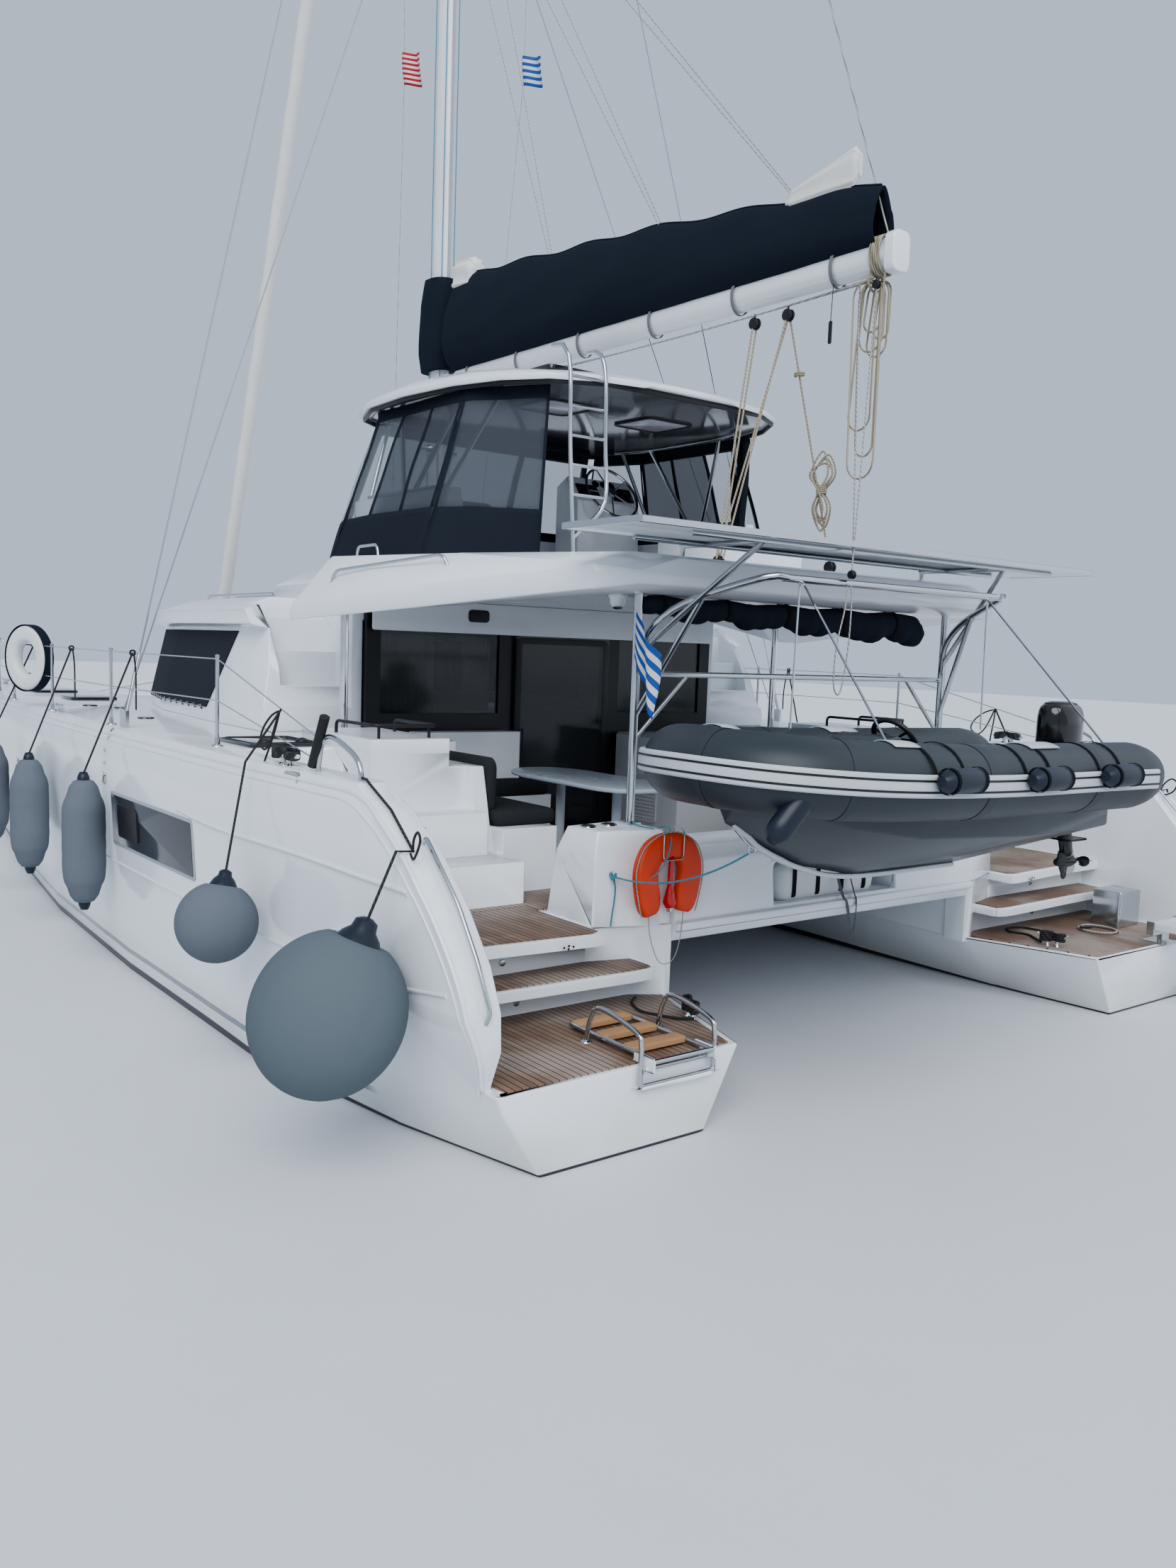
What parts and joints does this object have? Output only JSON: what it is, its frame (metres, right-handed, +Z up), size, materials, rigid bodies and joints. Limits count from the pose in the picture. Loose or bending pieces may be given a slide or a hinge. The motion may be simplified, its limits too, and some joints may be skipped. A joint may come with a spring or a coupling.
{
  "type": "cruising sailing catamaran with flybridge and davits",
  "caption": "Cruising sailing catamaran with stepped sterns, flybridge hardtop, stowed sails and a tender hung in stern davits.",
  "frame": {"origin": "on the waterline and the centreline, level with the aft edge of the boarding platforms", "axes": "+X forward, +Y to port, +Z up the mast"},
  "size_m": [16.292, 9.2544, 22.35],
  "materials": {
    "gelcoat": "polished white gelcoat",
    "antifouling": "matt dark blue bottom paint",
    "stainless": "polished stainless tube",
    "alloy": "white lacquered spar",
    "dark_glass": "smoked glazing",
    "canvas": "dark acrylic canvas with clear panels",
    "navy_canvas": "navy acrylic canvas",
    "cushion": "dark grey outdoor cushion cover",
    "sailcloth": "white sailcloth",
    "netting": "black woven netting",
    "teak": "weathered teak with dark seams",
    "tender_fabric": "matt blue-grey coated fabric",
    "black_plastic": "satin black",
    "table_grey": "grey moulded table top",
    "orange_vinyl": "orange vinyl cover"
  },
  "bodies": {
    "root": {"port_hull": "gelcoat", "port_keel": "antifouling", "port_saildrive": "black_plastic", "starboard_hull": "gelcoat", "starboard_keel": "antifouling", "starboard_saildrive": "black_plastic", "bridgedeck": "gelcoat", "coachroof": "gelcoat", "cabin_windows": "dark_glass", "saloon_bulkhead": "black_plastic", "saloon_pane_port": "dark_glass", "saloon_pane_starboard": "dark_glass", "cockpit_roof": "gelcoat", "flybridge_seats": "gelcoat", "flybridge_cushions": "cushion", "helm_console": "gelcoat", "hardtop": "gelcoat", "port_hardtop_frame": "stainless", "starboard_hardtop_frame": "stainless", "port_screen": "canvas", "starboard_screen": "canvas", "front_screen": "canvas", "hardtop_ladder": "stainless", "mast": "alloy", "furled_headsail": "sailcloth", "port_shrouds": "stainless", "starboard_shrouds": "stainless", "forward_beam": "alloy", "port_trampoline": "netting", "starboard_trampoline": "netting", "port_guardrail": "stainless", "starboard_guardrail": "stainless", "davit_frame": "stainless", "solar_panel": "dark_glass", "tender_tubes": "tender_fabric", "tender_hull": "gelcoat", "tender_console": "gelcoat", "tender_motor_bracket": "black_plastic", "passerelle_socket": "stainless", "cockpit_table": "table_grey", "port_cockpit_cushion": "cushion", "starboard_cockpit_cushion": "cushion", "galley_counter": "gelcoat", "lifebuoy": "orange_vinyl", "liferaft": "gelcoat"},
    "port_propeller": {"port_propeller": "stainless"},
    "starboard_propeller": {"starboard_propeller": "stainless"},
    "port_rudder": {"port_rudder": "antifouling"},
    "starboard_rudder": {"starboard_rudder": "antifouling"},
    "helm_wheel": {"helm_wheel": "stainless"},
    "boom": {"boom": "alloy", "sail_bag": "navy_canvas"},
    "saloon_door": {"saloon_door": "dark_glass"},
    "swim_ladder": {"swim_ladder": "stainless"},
    "passerelle_swivel": {"passerelle_swivel": "stainless"},
    "passerelle": {"passerelle": "teak"},
    "port_deck_hatch": {"port_deck_hatch": "dark_glass"},
    "starboard_deck_hatch": {"starboard_deck_hatch": "dark_glass"},
    "tender_motor": {"tender_motor": "black_plastic"},
    "tender_propeller": {"tender_propeller": "black_plastic"}
  },
  "joints": [
    {"name": "port_shaft", "type": "hinge", "parent": "root", "child": "port_propeller", "pos_m": [2.1, 2.84, -0.62], "axis": [1, 0, 0], "continuous": true},
    {"name": "starboard_shaft", "type": "hinge", "parent": "root", "child": "starboard_propeller", "pos_m": [2.1, -2.84, -0.62], "axis": [1, 0, 0], "continuous": true},
    {"name": "port_rudder_stock", "type": "hinge", "parent": "root", "child": "port_rudder", "pos_m": [1.05, 2.78, -0.3], "axis": [0, 0, 1], "range_deg": [-35, 35]},
    {"name": "starboard_rudder_stock", "type": "hinge", "parent": "root", "child": "starboard_rudder", "pos_m": [1.05, -2.78, -0.3], "axis": [0, 0, 1], "range_deg": [-35, 35]},
    {"name": "helm", "type": "hinge", "parent": "root", "child": "helm_wheel", "pos_m": [4.85117, -0.81, 4.27334], "axis": [-0.8293, 0, 0.5588], "range_deg": [-210, 210]},
    {"name": "boom_swing", "type": "hinge", "parent": "root", "child": "boom", "pos_m": [6.7, 0, 5.49], "axis": [0, 0, 1], "range_deg": [-55, 55]},
    {"name": "saloon_door_slide", "type": "slide", "parent": "root", "child": "saloon_door", "axis": [0, -1, 0], "range_m": [0, 1.04]},
    {"name": "swim_ladder_hinge", "type": "hinge", "parent": "root", "child": "swim_ladder", "pos_m": [-0.075, 2.43, 0.516], "axis": [0, -1, 0], "range_deg": [0, 265]},
    {"name": "passerelle_swing", "type": "hinge", "parent": "root", "child": "passerelle_swivel", "pos_m": [0.04, -3, 0.56], "axis": [0, 0, 1], "range_deg": [-30, 30]},
    {"name": "passerelle_lift", "type": "hinge", "parent": "passerelle_swivel", "child": "passerelle", "pos_m": [0.04, -3, 0.64], "axis": [0, 1, 0], "range_deg": [-15, 80]},
    {"name": "port_hatch_hinge", "type": "hinge", "parent": "root", "child": "port_deck_hatch", "pos_m": [3.9, 3.28, 1.963], "axis": [0, 1, 0], "range_deg": [0, 95]},
    {"name": "starboard_hatch_hinge", "type": "hinge", "parent": "root", "child": "starboard_deck_hatch", "pos_m": [3.9, -3.28, 1.963], "axis": [0, 1, 0], "range_deg": [0, 95]},
    {"name": "tender_motor_steer", "type": "hinge", "parent": "root", "child": "tender_motor", "pos_m": [-0.12, -0.8, 2], "axis": [0, 0, 1], "range_deg": [-30, 30]},
    {"name": "tender_shaft", "type": "hinge", "parent": "tender_motor", "child": "tender_propeller", "pos_m": [-0.12, -1.24, 1.33], "axis": [0, 1, 0], "continuous": true}
  ],
  "couplings": [
    {"joint": "starboard_rudder_stock", "follows": "port_rudder_stock", "ratio": 1},
    {"joint": "helm", "follows": "port_rudder_stock", "ratio": 6}
  ]
}
